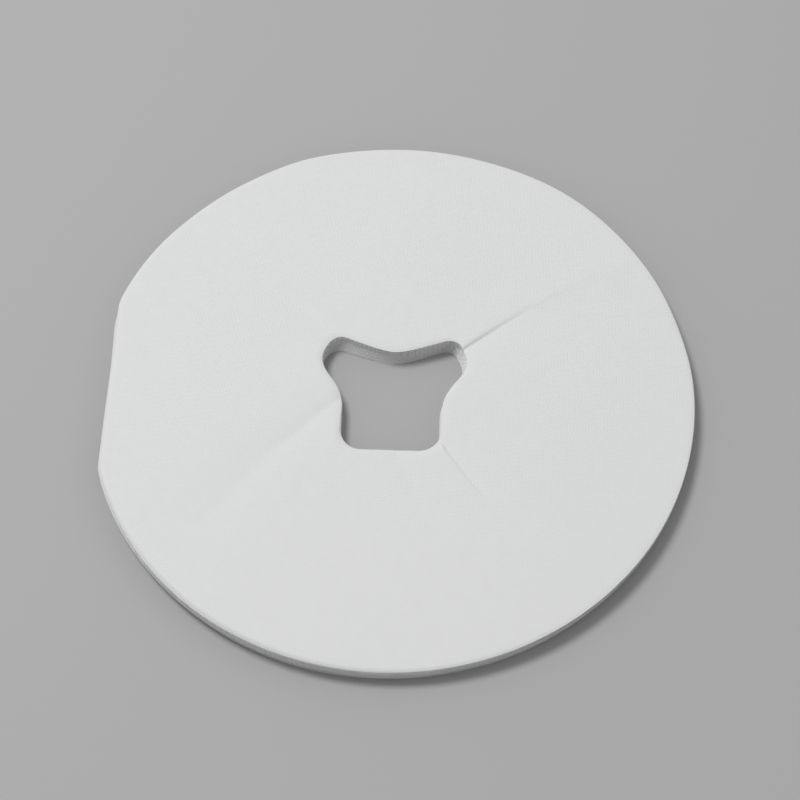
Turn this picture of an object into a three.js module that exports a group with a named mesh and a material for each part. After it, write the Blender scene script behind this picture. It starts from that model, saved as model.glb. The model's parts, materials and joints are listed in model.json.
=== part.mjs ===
// A pile of disposable face cradle covers: fifty loose non-woven sheets, each a round disc with one
// straight side and a face opening in the middle. Millimetres, +Z up, the pile lying on Z = 0.
// The straight side is at -X, and the brow of the face opening is towards +Y.

import * as THREE from 'three';

// One cover, about the centre of its round edge
const COVER_RADIUS = 145;
const STRAIGHT_SIDE_X = -137.4;
const COVER_THICKNESS = 0.16;
const ROUND_STEPS = 32;

// The face opening, right half: chin, cheek and brow are where its edge crosses or runs beside the axis
const CHIN_Y = -30.4;
const CHEEK_X = 24.2;
const CHIN_CORNER_RADIUS = 10.5;
const CHEEK_TOP_Y = -8;
const LOBE_CENTRE_X = 26.5;
const LOBE_CENTRE_Y = 24.8;
const LOBE_RADIUS = 6.9;
const LOBE_START = THREE.MathUtils.degToRad(30);
const LOBE_END = THREE.MathUtils.degToRad(110);
const BROW_Y = 24.5;
const TEMPLE_PULL = 18; // how far the cheek carries on straight up as it turns into the temple
const LOBE_PULL_IN = 19; // how far the temple runs straight into the lobe
const LOBE_PULL_OUT = 8.5; // how far the lobe's top runs on towards the brow
const BROW_PULL = 6; // how far the brow stays level beside the axis

// The pile
const COVER_COUNT = 50;
const LOWER_COUNT = 30;
const PITCH = 0.22; // one cover and the air over it
const LOWER_TURN = THREE.MathUtils.degToRad(1.8);
const LOWER_SHIFT = new THREE.Vector2(-0.9, -0.9);
const STRAY_SHIFT = 0.2; // how far single covers lie off their group
const STRAY_TURN = THREE.MathUtils.degToRad(0.1);
const STRAY_STEP = 2.4; // radians from one cover's stray direction to the next one's

const nonWoven = new THREE.MeshStandardMaterial({ color: 0xe4e6e6, roughness: 0.95, metalness: 0 });

function roundEdge() {
  const corner = Math.acos(STRAIGHT_SIDE_X / COVER_RADIUS);
  const edge = new THREE.EllipseCurve(0, 0, COVER_RADIUS, COVER_RADIUS, -corner, corner);
  return edge.getPoints(ROUND_STEPS);
}

function tangent(angle) {
  return new THREE.Vector2(-Math.sin(angle), Math.cos(angle));
}

// The right half of the face opening's edge, from the chin round to the brow
function halfOpening() {
  const cornerX = CHEEK_X - CHIN_CORNER_RADIUS;
  const cornerY = CHIN_Y + CHIN_CORNER_RADIUS;
  const chinCorner = new THREE.EllipseCurve(
    cornerX, cornerY, CHIN_CORNER_RADIUS, CHIN_CORNER_RADIUS, -Math.PI / 2, 0);
  const lobe = new THREE.EllipseCurve(
    LOBE_CENTRE_X, LOBE_CENTRE_Y, LOBE_RADIUS, LOBE_RADIUS, LOBE_START, LOBE_END);
  const lobeStart = lobe.getPoint(0);
  const lobeEnd = lobe.getPoint(1);
  const temple = new THREE.CubicBezierCurve(
    new THREE.Vector2(CHEEK_X, CHEEK_TOP_Y),
    new THREE.Vector2(CHEEK_X, CHEEK_TOP_Y + TEMPLE_PULL),
    lobeStart.clone().addScaledVector(tangent(LOBE_START), -LOBE_PULL_IN),
    lobeStart);
  const brow = new THREE.CubicBezierCurve(
    lobeEnd,
    lobeEnd.clone().addScaledVector(tangent(LOBE_END), LOBE_PULL_OUT),
    new THREE.Vector2(BROW_PULL, BROW_Y),
    new THREE.Vector2(0, BROW_Y));
  return [
    ...chinCorner.getPoints(3),
    ...temple.getPoints(6).slice(0, -1),
    ...lobe.getPoints(3),
    ...brow.getPoints(4).slice(1),
  ];
}

function faceOpening() {
  const right = halfOpening();
  const left = right.slice(0, -1).reverse().map((p) => new THREE.Vector2(-p.x, p.y));
  return new THREE.Path([...right, ...left]);
}

function coverGeometry() {
  const outline = new THREE.Shape(roundEdge());
  outline.holes.push(faceOpening());
  return new THREE.ExtrudeGeometry(outline, { depth: COVER_THICKNESS, bevelEnabled: false });
}

// Each cover strays a little from its group, in a direction that goes round from cover to cover
function placeCover(cover, index) {
  const stray = STRAY_STEP * index;
  cover.position.set(
    STRAY_SHIFT * Math.cos(stray), STRAY_SHIFT * Math.sin(stray), PITCH * index);
  cover.rotation.z = STRAY_TURN * Math.sin(stray);
  if (index < LOWER_COUNT) {
    cover.position.x += LOWER_SHIFT.x;
    cover.position.y += LOWER_SHIFT.y;
    cover.rotation.z += LOWER_TURN;
  }
}

function buildPile() {
  const pile = new THREE.Group();
  for (let index = 0; index < COVER_COUNT; index += 1) {
    const cover = new THREE.Mesh(coverGeometry(), nonWoven);
    cover.name = `cover_${String(index + 1).padStart(2, '0')}`;
    placeCover(cover, index);
    pile.add(cover);
  }
  return pile;
}

// The origin is the middle of the pile's footprint, on the surface it lies on
function centred(pile) {
  const middle = new THREE.Box3().setFromObject(pile, true).getCenter(new THREE.Vector3());
  pile.position.set(-middle.x, -middle.y, 0);
  return pile;
}

export default centred(buildPile());
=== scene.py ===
"""The looks of a pile of disposable face cradle covers: fifty thin sheets of point-bonded non-woven fabric.

Each plain disc of the frame is replaced by a creased sheet with a soft rim, lying where that disc lies.
Metres, +Z up.
"""

import json
import math

import bpy
import numpy as np
from mathutils import Matrix, Vector


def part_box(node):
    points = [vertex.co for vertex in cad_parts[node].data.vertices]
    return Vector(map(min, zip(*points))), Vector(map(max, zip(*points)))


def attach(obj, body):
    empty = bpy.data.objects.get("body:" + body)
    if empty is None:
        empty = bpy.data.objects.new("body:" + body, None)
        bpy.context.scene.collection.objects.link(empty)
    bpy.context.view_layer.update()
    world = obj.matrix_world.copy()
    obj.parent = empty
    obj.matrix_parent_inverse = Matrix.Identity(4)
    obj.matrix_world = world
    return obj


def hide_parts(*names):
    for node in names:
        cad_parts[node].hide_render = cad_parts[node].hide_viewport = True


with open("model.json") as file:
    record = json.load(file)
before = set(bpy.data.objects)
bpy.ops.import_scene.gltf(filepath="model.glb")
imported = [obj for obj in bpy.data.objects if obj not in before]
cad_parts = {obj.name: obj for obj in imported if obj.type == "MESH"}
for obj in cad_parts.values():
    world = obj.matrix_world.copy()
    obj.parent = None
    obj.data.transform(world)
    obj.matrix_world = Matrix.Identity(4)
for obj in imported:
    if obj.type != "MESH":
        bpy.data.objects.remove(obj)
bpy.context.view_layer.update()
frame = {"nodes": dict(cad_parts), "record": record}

MM = 0.001
COVERS = sorted(frame["nodes"])  # from the lowest to the top one

# One cover as it was cut, about the middle of its round edge
COVER_RADIUS = 145 * MM
STRAIGHT_SIDE = 137.4 * MM
THICKNESS = 0.12 * MM

# The face opening, right half
CHIN_Y = -30.4 * MM
CHEEK_X = 24.2 * MM
CHIN_CORNER_RADIUS = 10.5 * MM
CHEEK_TOP_Y = -8 * MM
LOBE_CENTRE = np.array([26.5, 24.8]) * MM
LOBE_RADIUS = 6.9 * MM
LOBE_START = math.radians(30)
LOBE_END = math.radians(110)
BROW_Y = 24.5 * MM
TEMPLE_PULL = 18 * MM
LOBE_PULL_IN = 19 * MM
LOBE_PULL_OUT = 8.5 * MM
BROW_PULL = 6 * MM

# How the stack gives: its rim and the edge of its opening are pressed thinner, by a share of their height
LOWER_COUNT = 30  # covers in the lower of the pile's two packs
RIM_SQUEEZE = 0.03
ROUNDED_SQUEEZE = 0.13  # added where the rim has been rounded most
ROUNDED_AZIMUTH = math.radians(-140)
RIM_WIDTH = 2.6 * MM
OPENING_SQUEEZE = 0.07
OPENING_WIDTH = 4.5 * MM
PRESS_CURVE = 2.4  # how sharply the pressing falls off inwards
LOWER_SPREAD = 0.6 * MM  # how far the lowest cover's opening has closed in
CREASE_DEPTH_POWER = 1  # how fast creases fade down the stack
EDGE_STRAY = 0.16 * MM  # how far one cover's cut edge wanders from its neighbours'
PACK_GAP = 1.9 * MM  # how far the rims stand in where the two packs meet
PACK_GAP_COVERS = 3  # how many covers of each pack do so
NEAR_FOOT = 2.2 * MM  # how far the lowest covers are pushed in along the near rim
NEAR_AZIMUTH = math.radians(-85)

# Fineness: (spokes, rings) of each cover's mesh, and how much closer the rings lie at its two edges
FINE = (960, 72)
MEDIUM = (600, 44)
PLAIN = (400, 18)
CROWDING = 0.85
CRISP_EDGE = math.radians(50)  # a cover's edges are crisp where its faces meet at more than this

# The bond points pressed into the fabric
BOND_PITCH = 1.4 * MM
BOND_DEPTH = 0.12 * MM
EDGE_ROW_RATIO = 0.45  # the points on the cut edges stand this much closer round them than up them
CLOTH_POINT = (0.85, 0.425)  # where a point's slope ends and begins, on the wave that spaces the points
# On the cut edges the points are wider; they carry the edges' bumps and the painted shade of the edges'
# point colours
EDGE_POINT = (0.4, 0.04)

# The cloth: its clouds and fibres, in cycles per metre, and how much they darken and lighten it
CLOUD_SCALE = 160.0
FIBRE_SCALE = 2600.0
CLOUD_SHARE = 0.6  # of the unevenness; the fibres make the rest
DARKEST = 0.955
LIGHTEST = 1.035
CLOTH_ROUGHNESS = 0.94
POINT_ROUGHNESS = 0.62

# Colours of the cloth and of its bond points: on a cover's two faces, round its opening, and round its rim.
# The faces' colours are the fabric's own; the cut edges' colours carry painted light and painted shade
FACE_COLOURS = ((0.875, 0.88, 0.88), (0.76, 0.765, 0.77))
# Round the opening the cut edge's cloth is painted lighter than the faces, a painted light on the wall, and
# its points darker, a painted shade
OPENING_COLOURS_PAINTED_LIGHT_AND_SHADE = ((0.93, 0.935, 0.93), (0.62, 0.625, 0.62))
# Round the rim the cut edge's cloth is painted darker than the faces and its points nearly black: both are
# painted shade
RIM_COLOURS_PAINTED_SHADE = ((0.66, 0.665, 0.67), (0.02, 0.0205, 0.021))


# ---------------------------------------------------------------- the outline of a cover

def arc(centre, radius, start, end, steps):
    angles = np.linspace(start, end, steps + 1)
    return np.column_stack([centre[0] + radius * np.cos(angles), centre[1] + radius * np.sin(angles)])


def bezier(p0, p1, p2, p3, steps):
    t = np.linspace(0, 1, steps + 1)[:, None]
    return (1 - t) ** 3 * p0 + 3 * (1 - t) ** 2 * t * p1 + 3 * (1 - t) * t**2 * p2 + t**3 * p3


def heading(angle):
    return np.array([-math.sin(angle), math.cos(angle)])


def line(start, end, steps):
    return np.linspace(start, end, steps + 1)


def opening_edge():
    """The face opening's whole edge, anticlockwise from the middle of the chin."""
    corner = (CHEEK_X - CHIN_CORNER_RADIUS, CHIN_Y + CHIN_CORNER_RADIUS)
    chin = line((0, CHIN_Y), (corner[0], CHIN_Y), 20)
    cheek = line((CHEEK_X, corner[1]), (CHEEK_X, CHEEK_TOP_Y), 20)
    lobe = arc(LOBE_CENTRE, LOBE_RADIUS, LOBE_START, LOBE_END, 60)
    temple = bezier(
        np.array([CHEEK_X, CHEEK_TOP_Y]),
        np.array([CHEEK_X, CHEEK_TOP_Y + TEMPLE_PULL]),
        lobe[0] - LOBE_PULL_IN * heading(LOBE_START),
        lobe[0],
        60,
    )
    brow = bezier(
        lobe[-1],
        lobe[-1] + LOBE_PULL_OUT * heading(LOBE_END),
        np.array([BROW_PULL, BROW_Y]),
        np.array([0, BROW_Y]),
        60,
    )
    chin_corner = arc(corner, CHIN_CORNER_RADIUS, -math.pi / 2, 0, 30)
    right = np.vstack([chin[:-1], chin_corner[:-1], cheek[:-1], temple[:-1], lobe[:-1], brow])
    left = right[1:-1][::-1] * (-1, 1)
    return np.vstack([right, left])


def opening_radius(angles):
    edge = opening_edge()
    edge_angles = np.arctan2(edge[:, 1], edge[:, 0])
    order = np.argsort(edge_angles)
    return np.interp(angles, edge_angles[order], np.hypot(edge[:, 0], edge[:, 1])[order], period=2 * math.pi)


# Where the cut runs off the circle: middle and half width in degrees, height in millimetres
RIM_WAVES = [(18, 10, -0.9), (56, 14, 0.9), (112, 6, 0.5), (148, 9, 0.4)]
FAR_WAVE = 0.2 * MM
SOFT_CORNER = 0.35 * MM


def bump(x, middle, width):
    return np.exp(-(((x - middle) / width) ** 2))


def rim_radius(angles):
    """The round edge with its straight side at -X. The knife left the far side slightly polygonal."""
    edge = COVER_RADIUS + FAR_WAVE * np.sin(7 * angles) * np.clip(np.sin(angles), 0, 1)
    for middle, width, height in RIM_WAVES:
        edge = edge + height * MM * bump(angles, math.radians(middle), math.radians(width))
    straight = STRAIGHT_SIDE / np.maximum(-np.cos(angles), 0.2)
    return -SOFT_CORNER * np.log(np.exp(-edge / SOFT_CORNER) + np.exp(-straight / SOFT_CORNER))


# ---------------------------------------------------------------- the folds and hollows of the top covers

# Each is (points along it, height, width to its left, width to its right) in millimetres. Left and right are
# as seen along the points. A negative height is a hollow. A narrow width makes a steep side.
CREASES = [
    ([(31, 28), (49, 42.5), (65, 54)], -1.5, 0.7, 9),
    ([(66, 57), (87, 70), (104, 79)], 0.5, 6, 4),
    ([(-33, 30), (-46, 42.5), (-58, 53)], -0.9, 9, 1.4),
    ([(24, -28), (36, -44), (47, -57)], -0.95, 8, 0.7),
    ([(1, -33), (11, -52), (30, -69)], -0.6, 8, 4),
    ([(-28, -2), (-59, -33), (-82, -64), (-94, -80)], -1.5, 6, 5.5),
    ([(-44, -50), (-38, -58)], -0.3, 3, 1),
    ([(-122, 16), (-105, -5), (-90, -9)], -0.45, 5, 3),
    ([(-14, 50), (-30, 36)], -0.3, 8, 8),
    ([(40, 62), (66, 88)], -0.5, 9, 9),
    ([(94, 80), (112, 78)], 0.5, 2.2, 8),
    ([(74, 18), (62, 8)], -0.15, 3, 2),
]
CREASE_SHARPNESS = 1.3  # 2 is a rounded fold, 1 a knife edge
CREASE_RUN_OUT = 0.85  # the share of its height that a fold has lost at its end

# The waves of the whole stack: length in millimetres, direction, and phase
SWELLS = [(150, 0.4, 0.3), (95, 1.7, 1.9), (61, 2.8, 4.4), (43, 0.9, 2.6)]
SWELL_HEIGHT = 0.22 * MM  # of the longest; the others are lower


def along(points, x, y):
    """Distance from a line through the points, the side (1 on its right), and the share of it passed."""
    points = np.array(points, float) * MM
    spans = np.diff(points, axis=0)
    lengths = np.hypot(spans[:, 0], spans[:, 1])
    starts = np.concatenate([[0], np.cumsum(lengths)[:-1]])
    nearest = np.full(x.shape, np.inf)
    side = np.ones(x.shape)
    share = np.zeros(x.shape)
    for point, span, length, start in zip(points, spans, lengths, starts):
        dx, dy = x - point[0], y - point[1]
        t = np.clip((dx * span[0] + dy * span[1]) / length**2, 0, 1)
        distance = np.hypot(dx - t * span[0], dy - t * span[1])
        nearer = distance < nearest
        nearest = np.where(nearer, distance, nearest)
        side = np.where(nearer, np.sign(dx * span[1] - dy * span[0]), side)
        share = np.where(nearer, (start + t * length) / lengths.sum(), share)
    return nearest, side, share


def crease(points, height, left, right, x, y):
    """A fold that is deepest where it starts and widens and runs out along its length."""
    distance, side, share = along(points, x, y)
    width = np.where(side > 0, right, left) * MM * (1 + share)
    return height * MM * np.exp(-((distance / width) ** CREASE_SHARPNESS)) * (1 - CREASE_RUN_OUT * share**2)


def swell(x, y):
    """The gentle unevenness of a stack of soft sheets."""
    height = 0.0
    for count, (pitch, turn, phase) in enumerate(SWELLS):
        side = x * math.cos(turn) + y * math.sin(turn)
        height = height + SWELL_HEIGHT / (1 + count) * np.sin(2 * math.pi * side / (pitch * MM) + phase)
    return height


def top_relief(x, y):
    relief = swell(x, y)
    for points, height, left, right in CREASES:
        relief = relief + crease(points, height, left, right, x, y)
    return relief


# ---------------------------------------------------------------- covers

def placement(name):
    """Where a plain cover lies: the middle of its round edge, its turn, and the height of its underside."""
    low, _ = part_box(name)
    points = np.array([v.co[:2] for v in frame["nodes"][name].data.vertices])
    middle = points.mean(axis=0)
    edge = points[np.hypot(*(points - middle).T) > COVER_RADIUS / 2]
    rows = np.column_stack([2 * edge, np.ones(len(edge))])
    centre = np.linalg.lstsq(rows, (edge**2).sum(axis=1), rcond=None)[0][:2]
    angles = np.unique(np.round(np.arctan2(*(edge - centre).T[::-1]), 5))
    gaps = np.diff(np.append(angles, angles[0] + 2 * math.pi))
    widest = np.argmax(gaps)
    turn = angles[widest] + gaps[widest] / 2 - math.pi
    return centre, turn, low.z


def facing(angles, azimuth):
    """1 on the rim at the given azimuth, falling to 0 a quarter turn either side."""
    return np.clip(np.cos(angles - azimuth), 0, 1)


def stands_in(index):
    """How far a cover's rim stands in from its neighbours', which parts the pile into its two packs."""
    return PACK_GAP * max(1 - abs(index + 0.5 - LOWER_COUNT) / PACK_GAP_COVERS, 0)


def lie(index):
    """Where a cover of the pile lies. The lower pack leans over until it meets the upper one."""
    centre, turn, floor = placement(COVERS[index])
    if index < LOWER_COUNT:
        upper_centre, upper_turn, _ = placement(COVERS[LOWER_COUNT])
        lean = index / LOWER_COUNT
        centre = centre + (upper_centre - centre) * lean
        turn = turn + (upper_turn - turn) * lean
    return centre, turn, floor


def pressed(gap, width):
    """1 at an edge, easing to 0 as the gap from it grows to the given width."""
    return np.clip(1 - gap / width, 0, 1) ** PRESS_CURVE


def squeeze(x, y):
    """The share of its height that the pile has lost at a place, near its rim and round its opening."""
    centre, turn, _ = placement(COVERS[-1])
    angles = np.arctan2(y - centre[1], x - centre[0]) - turn
    radius = np.hypot(x - centre[0], y - centre[1])
    rim = RIM_SQUEEZE + ROUNDED_SQUEEZE * facing(angles, ROUNDED_AZIMUTH)
    rim = rim * pressed(rim_radius(angles) - radius, RIM_WIDTH)
    return rim + OPENING_SQUEEZE * pressed(radius - opening_radius(angles), OPENING_WIDTH)


def spoke_grid(spokes, rings, index):
    """A cover's surface as rings of points from the opening's edge to the rim, in its own frame."""
    angles = np.linspace(-math.pi, math.pi, spokes, endpoint=False)
    stray = EDGE_STRAY * np.sin(angles * (3 + index % 4) + 2.4 * index)
    foot = NEAR_FOOT * np.sqrt(facing(angles, NEAR_AZIMUTH)) * max(1 - 2 * index / len(COVERS), 0)
    spread = LOWER_SPREAD * max(1 - index / LOWER_COUNT, 0)
    inner = opening_radius(angles) + stray - spread
    outer = rim_radius(angles) + stray - stands_in(index) - foot
    even = np.linspace(0, 1, rings + 1)
    share = even - CROWDING * np.sin(2 * math.pi * even) / (2 * math.pi)
    radius = inner[None, :] + (outer - inner)[None, :] * share[:, None]
    return radius * np.cos(angles), radius * np.sin(angles)


def cover_mesh(name, index, fineness):
    """A closed thin shell: rings of points above, the same below, joined round the rim and the opening."""
    centre, turn, floor = lie(index)
    x, y = spoke_grid(*fineness, index)
    level = index / (len(COVERS) - 1)
    world_x = centre[0] + x * math.cos(turn) - y * math.sin(turn)
    world_y = centre[1] + x * math.sin(turn) + y * math.cos(turn)
    z = floor * (1 - squeeze(world_x, world_y)) + top_relief(world_x, world_y) * level**CREASE_DEPTH_POWER
    rings, spokes = x.shape
    under = np.column_stack([world_x.ravel(), world_y.ravel(), z.ravel()])
    over = under + (0, 0, THICKNESS)
    ring = np.arange(rings - 1)[:, None] * spokes
    spoke = np.arange(spokes)[None, :]
    following = (spoke + 1) % spokes
    a, b = ring + spoke, ring + following
    c, d = b + spokes, a + spokes
    lower = np.stack([a, b, c, d], axis=-1).reshape(-1, 4)
    upper = np.stack([d, c, b, a], axis=-1).reshape(-1, 4) + len(under)
    first, after = spoke.ravel(), following.ravel()
    last = (rings - 1) * spokes
    opening_wall = np.column_stack([after, first, first + len(under), after + len(under)])
    rim_wall = opening_wall[:, [1, 0, 3, 2]] + last
    faces = np.vstack([upper, lower, opening_wall, rim_wall])
    mesh = bpy.data.meshes.new(name + "_cloth")
    mesh.from_pydata(np.vstack([under, over]).tolist(), [], faces.tolist())
    slots = np.zeros(len(faces), np.int32)
    # Slot 1, the opening's cut edge, takes the material with painted light and shade; slot 2, the rim's cut
    # edge, the one with painted shade
    slots[-2 * spokes:-spokes] = 1
    slots[-spokes:] = 2
    mesh.polygons.foreach_set("material_index", slots)
    mesh.polygons.foreach_set("use_smooth", np.ones(len(faces), bool))
    mesh.set_sharp_from_angle(angle=CRISP_EDGE)
    mesh.update()
    return mesh


# ---------------------------------------------------------------- materials

def node(tree, kind, **inputs):
    """A new shader node, with each named input linked or set."""
    made = tree.nodes.new(kind)
    for key, value in inputs.items():
        if isinstance(value, bpy.types.NodeSocket):
            tree.links.new(value, made.inputs[key])
        else:
            made.inputs[key].default_value = value
    return made


def maths(tree, operation, first, second=0.0):
    """The result of a maths node on two sockets or numbers."""
    made = tree.nodes.new("ShaderNodeMath")
    made.operation = operation
    for socket, value in zip(made.inputs, (first, second)):
        if isinstance(value, bpy.types.NodeSocket):
            tree.links.new(value, socket)
        else:
            socket.default_value = value
    return made.outputs[0]


def staggered_points(tree, first, second, point):
    """1 in staggered rows of points and 0 between them, along two measures of place."""
    wave = 2 * math.pi / BOND_PITCH
    waves = [maths(tree, "COSINE", maths(tree, "MULTIPLY", measure, wave)) for measure in (first, second)]
    ramp = node(tree, "ShaderNodeMapRange", Value=maths(tree, "MULTIPLY", *waves))
    ramp.interpolation_type = "SMOOTHSTEP"
    ramp.inputs["From Max"].default_value, ramp.inputs["From Min"].default_value = point
    return ramp.outputs["Result"]


def points_on_the_cloth(tree, coordinates):
    """The bond points across a cover."""
    split = node(tree, "ShaderNodeSeparateXYZ", Vector=coordinates)
    return staggered_points(tree, split.outputs["X"], split.outputs["Y"], CLOTH_POINT)


def points_on_the_edge(tree, coordinates):
    """The bond points that the knife ran through, which line up in slanting rows from cover to cover."""
    split = node(tree, "ShaderNodeSeparateXYZ", Vector=coordinates)
    turn = maths(tree, "ARCTAN2", split.outputs["Y"], split.outputs["X"])
    around = maths(tree, "MULTIPLY", turn, COVER_RADIUS)
    up = maths(tree, "MULTIPLY", split.outputs["Z"], EDGE_ROW_RATIO)
    return staggered_points(tree, around, up, EDGE_POINT)


def non_woven(name, cloth, bonded, bond_points):
    """White spunbond fabric: cloudy where its fibres lie thicker, with pressed points that are smoother. For
    the cut edges the colours given carry painted light and painted shade.
    """
    material = bpy.data.materials.new(name)
    material.use_nodes = True
    tree = material.node_tree
    tree.nodes.clear()
    place = tree.nodes.new("ShaderNodeTexCoord").outputs["Object"]
    bonds = bond_points(tree, place)
    clouds = node(tree, "ShaderNodeTexNoise", Vector=place, Scale=CLOUD_SCALE, Detail=5.0, Roughness=0.6)
    fibres = node(tree, "ShaderNodeTexNoise", Vector=place, Scale=FIBRE_SCALE, Detail=3.0, Distortion=1.5)
    blend = maths(tree, "ADD", maths(tree, "MULTIPLY", clouds.outputs["Fac"], CLOUD_SHARE),
                  maths(tree, "MULTIPLY", fibres.outputs["Fac"], 1 - CLOUD_SHARE))
    tone = tree.nodes.new("ShaderNodeMix")
    tone.data_type = "RGBA"
    tree.links.new(blend, tone.inputs["Factor"])
    tone.inputs["A"].default_value = (*[DARKEST * v for v in cloth], 1)
    tone.inputs["B"].default_value = (*[min(LIGHTEST * v, 1) for v in cloth], 1)
    colour = tree.nodes.new("ShaderNodeMix")
    colour.data_type = "RGBA"
    tree.links.new(bonds, colour.inputs["Factor"])
    tree.links.new(tone.outputs["Result"], colour.inputs["A"])
    colour.inputs["B"].default_value = (*bonded, 1)
    roughness = node(tree, "ShaderNodeMapRange", Value=bonds)
    roughness.inputs["To Min"].default_value = CLOTH_ROUGHNESS
    roughness.inputs["To Max"].default_value = POINT_ROUGHNESS
    relief = maths(tree, "SUBTRACT", maths(tree, "MULTIPLY", fibres.outputs["Fac"], 0.5), bonds)
    bumps = node(tree, "ShaderNodeBump", Height=relief, Strength=1.0, Distance=BOND_DEPTH)
    shader = node(tree, "ShaderNodeBsdfPrincipled", Normal=bumps.outputs["Normal"])
    tree.links.new(colour.outputs["Result"], shader.inputs["Base Color"])
    tree.links.new(roughness.outputs["Result"], shader.inputs["Roughness"])
    shader.inputs["Specular IOR Level"].default_value = 0.25
    shader.inputs["Sheen Weight"].default_value = 0.2
    shader.inputs["Sheen Roughness"].default_value = 0.6
    shader.inputs["Sheen Tint"].default_value = (1, 1, 1, 1)
    output = tree.nodes.new("ShaderNodeOutputMaterial")
    tree.links.new(shader.outputs["BSDF"], output.inputs["Surface"])
    return material


def plain_material(name, colour, roughness):
    material = bpy.data.materials.new(name)
    material.use_nodes = True
    shader = material.node_tree.nodes["Principled BSDF"]
    shader.inputs["Base Color"].default_value = (*colour, 1)
    shader.inputs["Roughness"].default_value = roughness
    return material


# ---------------------------------------------------------------- the scene around it

CAMERA_DISTANCE = 1.155
CAMERA_ELEVATION = math.radians(59.84)
CAMERA_AZIMUTH = math.radians(3.5)
CAMERA_ROLL = math.radians(-0.7)
CAMERA_LENS = 108
AIM_OFFSET = Vector((3.6, -2.65)) * MM  # from the top cover's middle to the picture's, right and up

SKY_STRENGTH = 0.42
LAMP_PLACE = (-0.78, 0.45, 2.1)
LAMP_SIZE = 0.8
LAMP_POWER = 24.5
FLOOR_COLOUR = (0.48, 0.48, 0.48)
FLOOR_ROUGHNESS = 0.8
FLOOR_SIZE = 8


def add_camera(target):
    """Looks down on the pile from its near side, slightly from the right."""
    away = Vector((
        math.cos(CAMERA_ELEVATION) * math.sin(CAMERA_AZIMUTH),
        -math.cos(CAMERA_ELEVATION) * math.cos(CAMERA_AZIMUTH),
        math.sin(CAMERA_ELEVATION),
    ))
    right = (-away).cross(Vector((0, 0, 1))).normalized()
    up = right.cross(-away)
    rolled_right = right * math.cos(CAMERA_ROLL) + up * math.sin(CAMERA_ROLL)
    rolled_up = up * math.cos(CAMERA_ROLL) - right * math.sin(CAMERA_ROLL)
    camera = bpy.data.objects.new("camera", bpy.data.cameras.new("camera"))
    camera.data.lens = CAMERA_LENS
    camera.data.sensor_width = 36
    camera.data.clip_end = 20
    place = target + away * CAMERA_DISTANCE + rolled_right * AIM_OFFSET.x + rolled_up * AIM_OFFSET.y
    turn = Matrix((rolled_right, rolled_up, away)).transposed().to_4x4()
    camera.matrix_world = Matrix.Translation(place) @ turn
    bpy.context.scene.collection.objects.link(camera)
    bpy.context.scene.camera = camera


def add_area_light(name, place, aim, size, power):
    light = bpy.data.objects.new(name, bpy.data.lights.new(name, "AREA"))
    light.data.shape = "DISK"
    light.data.size = size
    light.data.energy = power
    light.location = place
    light.rotation_euler = (Vector(aim) - Vector(place)).to_track_quat("-Z", "Y").to_euler()
    bpy.context.scene.collection.objects.link(light)


def add_studio():
    bpy.context.scene.view_settings.view_transform = "Standard"
    world = bpy.data.worlds.new("studio")
    world.use_nodes = True
    world.node_tree.nodes["Background"].inputs["Color"].default_value = (1, 1, 1, 1)
    world.node_tree.nodes["Background"].inputs["Strength"].default_value = SKY_STRENGTH
    bpy.context.scene.world = world
    add_area_light("overhead", LAMP_PLACE, (0, 0, 0), LAMP_SIZE, LAMP_POWER)
    bpy.ops.mesh.primitive_plane_add(size=FLOOR_SIZE)
    floor = bpy.context.object
    floor.name = "floor"
    floor.data.materials.append(plain_material("floor", FLOOR_COLOUR, FLOOR_ROUGHNESS))


# ---------------------------------------------------------------- the pile


def fineness_of(name, body):
    """The top cover is seen most, and one that can be lifted off or uncovered more than the rest."""
    members = frame["record"]["behaviour"]["bodies"][body]
    if name == COVERS[-1]:
        return FINE
    return MEDIUM if name == members[-1] else PLAIN


def add_pile():
    """Each cover of the frame as its own cloth, with one material for its faces and one per cut edge; the
    cut edges' materials are painted lighter round the opening and darker round the rim, painted light and
    painted shade.
    """
    materials = [
        non_woven("non_woven", *FACE_COLOURS, points_on_the_cloth),
        # The opening's cut edge: cloth with painted light, points with painted shade; the rim's cut edge:
        # painted shade
        non_woven("non_woven_opening_wall_painted_light_and_shade", *OPENING_COLOURS_PAINTED_LIGHT_AND_SHADE, points_on_the_edge),
        non_woven("non_woven_rim_wall_painted_shade", *RIM_COLOURS_PAINTED_SHADE, points_on_the_edge),
    ]
    bodies = frame["record"]["behaviour"]["bodies"]
    for index, name in enumerate(COVERS):
        body = next(body for body, members in bodies.items() if name in members)
        mesh = cover_mesh(name, index, fineness_of(name, body))
        cover = bpy.data.objects.new(name + "_cloth", mesh)
        bpy.context.scene.collection.objects.link(cover)
        for material in materials:
            mesh.materials.append(material)
        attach(cover, body)
        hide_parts(name)


top_centre, _, top_height = placement(COVERS[-1])
add_camera(Vector((*top_centre, top_height)))
add_studio()
add_pile()

bpy.context.view_layer.update()
